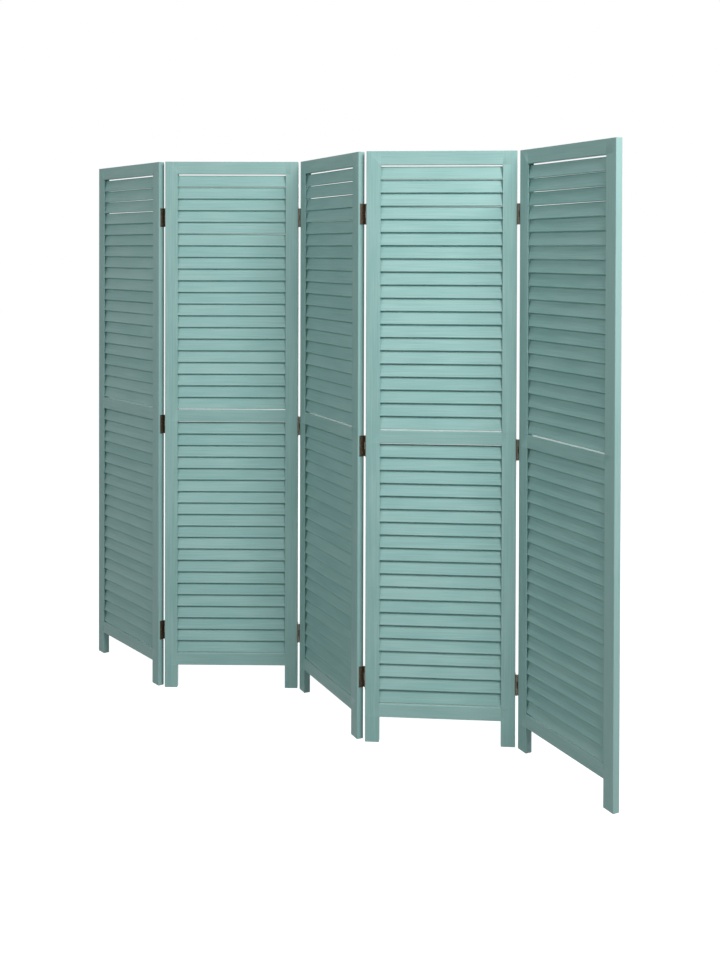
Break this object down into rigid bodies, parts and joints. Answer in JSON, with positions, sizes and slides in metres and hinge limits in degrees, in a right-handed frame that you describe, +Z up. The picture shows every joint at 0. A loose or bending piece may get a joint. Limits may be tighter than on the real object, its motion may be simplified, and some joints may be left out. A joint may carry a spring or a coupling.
{
  "type": "folding screen",
  "caption": "Freestanding folding screen of hinged wooden panels with fixed horizontal louvres, which stands as a zigzag and folds flat.",
  "frame": {"origin": "middle of the floor rectangle that the standing screen takes up, on the floor", "axes": "+X along the screen's run from its left panel to its right panel, +Y to its back, +Z up"},
  "size_m": [1.9712, 0.3136, 1.7],
  "materials": {
    "painted_wood": "satin sage-teal paint on wood",
    "painted_louvre": "satin sage-teal paint on thin wooden slats",
    "hinge_bronze": "dark antique bronze plate"
  },
  "bodies": {
    "panel_1": {"panel_1_stile_left": "painted_wood", "panel_1_stile_right": "painted_wood", "panel_1_top_rail": "painted_wood", "panel_1_mid_rail": "painted_wood", "panel_1_bottom_rail": "painted_wood", "panel_1_upper_louvres": "painted_louvre", "panel_1_lower_louvres": "painted_louvre", "hinge_1_leaves_left": "hinge_bronze", "hinge_1_pins": "hinge_bronze"},
    "panel_2": {"panel_2_stile_left": "painted_wood", "panel_2_stile_right": "painted_wood", "panel_2_top_rail": "painted_wood", "panel_2_mid_rail": "painted_wood", "panel_2_bottom_rail": "painted_wood", "panel_2_upper_louvres": "painted_louvre", "panel_2_lower_louvres": "painted_louvre", "hinge_1_leaves_right": "hinge_bronze", "hinge_2_leaves_left": "hinge_bronze", "hinge_2_pins": "hinge_bronze"},
    "panel_3": {"panel_3_stile_left": "painted_wood", "panel_3_stile_right": "painted_wood", "panel_3_top_rail": "painted_wood", "panel_3_mid_rail": "painted_wood", "panel_3_bottom_rail": "painted_wood", "panel_3_upper_louvres": "painted_louvre", "panel_3_lower_louvres": "painted_louvre", "hinge_2_leaves_right": "hinge_bronze", "hinge_3_leaves_left": "hinge_bronze", "hinge_3_pins": "hinge_bronze"},
    "panel_4": {"panel_4_stile_left": "painted_wood", "panel_4_stile_right": "painted_wood", "panel_4_top_rail": "painted_wood", "panel_4_mid_rail": "painted_wood", "panel_4_bottom_rail": "painted_wood", "panel_4_upper_louvres": "painted_louvre", "panel_4_lower_louvres": "painted_louvre", "hinge_3_leaves_right": "hinge_bronze", "hinge_4_leaves_left": "hinge_bronze", "hinge_4_pins": "hinge_bronze"},
    "panel_5": {"panel_5_stile_left": "painted_wood", "panel_5_stile_right": "painted_wood", "panel_5_top_rail": "painted_wood", "panel_5_mid_rail": "painted_wood", "panel_5_bottom_rail": "painted_wood", "panel_5_upper_louvres": "painted_louvre", "panel_5_lower_louvres": "painted_louvre", "hinge_4_leaves_right": "hinge_bronze"}
  },
  "joints": [
    {"name": "fold_12", "type": "hinge", "parent": "panel_2", "child": "panel_1", "pos_m": [-0.56035, -0.13444, 0.85], "axis": [0, 0, -1], "range_deg": [-50, 130]},
    {"name": "fold_23", "type": "hinge", "parent": "panel_3", "child": "panel_2", "pos_m": [-0.19337, 0.10001, 0.85], "axis": [0, 0, 1], "range_deg": [-63, 117]},
    {"name": "fold_34", "type": "hinge", "parent": "panel_3", "child": "panel_4", "pos_m": [0.20701, -0.07127, 0.85], "axis": [0, 0, 1], "range_deg": [-59, 121]},
    {"name": "fold_45", "type": "hinge", "parent": "panel_4", "child": "panel_5", "pos_m": [0.58945, 0.13701, 0.85], "axis": [0, 0, -1], "range_deg": [-59, 121]}
  ],
  "couplings": [
    {"joint": "fold_45", "follows": "fold_34", "ratio": 1}
  ]
}
